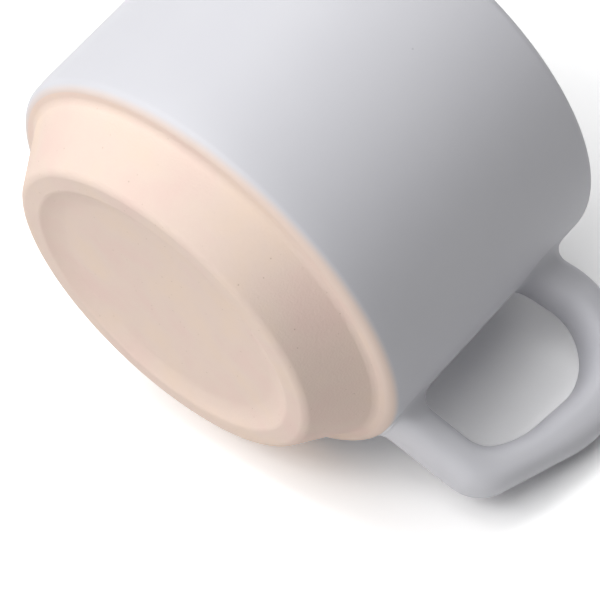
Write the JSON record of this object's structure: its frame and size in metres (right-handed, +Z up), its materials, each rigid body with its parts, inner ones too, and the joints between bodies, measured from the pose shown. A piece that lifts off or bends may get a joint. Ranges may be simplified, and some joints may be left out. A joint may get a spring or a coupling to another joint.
{
  "type": "stacking cup",
  "caption": "Stoneware cup with an upright glazed wall, a bare tapered foot that nests in the mouth of the cup below, and an ear-shaped handle.",
  "frame": {"origin": "on the resting plane, below the middle of the box that holds cup and handle", "axes": "+Z up along the cup's axis from foot to lip, +X from the cup's axis towards the handle"},
  "size_m": [0.113, 0.085, 0.0669],
  "materials": {
    "bare_clay": "unglazed fired stoneware, fine and chalky",
    "handle_clay": "fired stoneware under glaze",
    "slip_clay": "fired slip under glaze",
    "outer_glaze": "satin matt pale grey glaze",
    "liner_glaze": "satin matt pale grey glaze",
    "handle_glaze": "satin matt pale grey glaze"
  },
  "bodies": {
    "root": {"cup_body": "bare_clay", "handle": "handle_clay", "upper_slip_joint": "slip_clay", "lower_slip_joint": "slip_clay", "outer_glaze": "outer_glaze", "liner_glaze": "liner_glaze", "handle_glaze": "handle_glaze"}
  },
  "joints": []
}
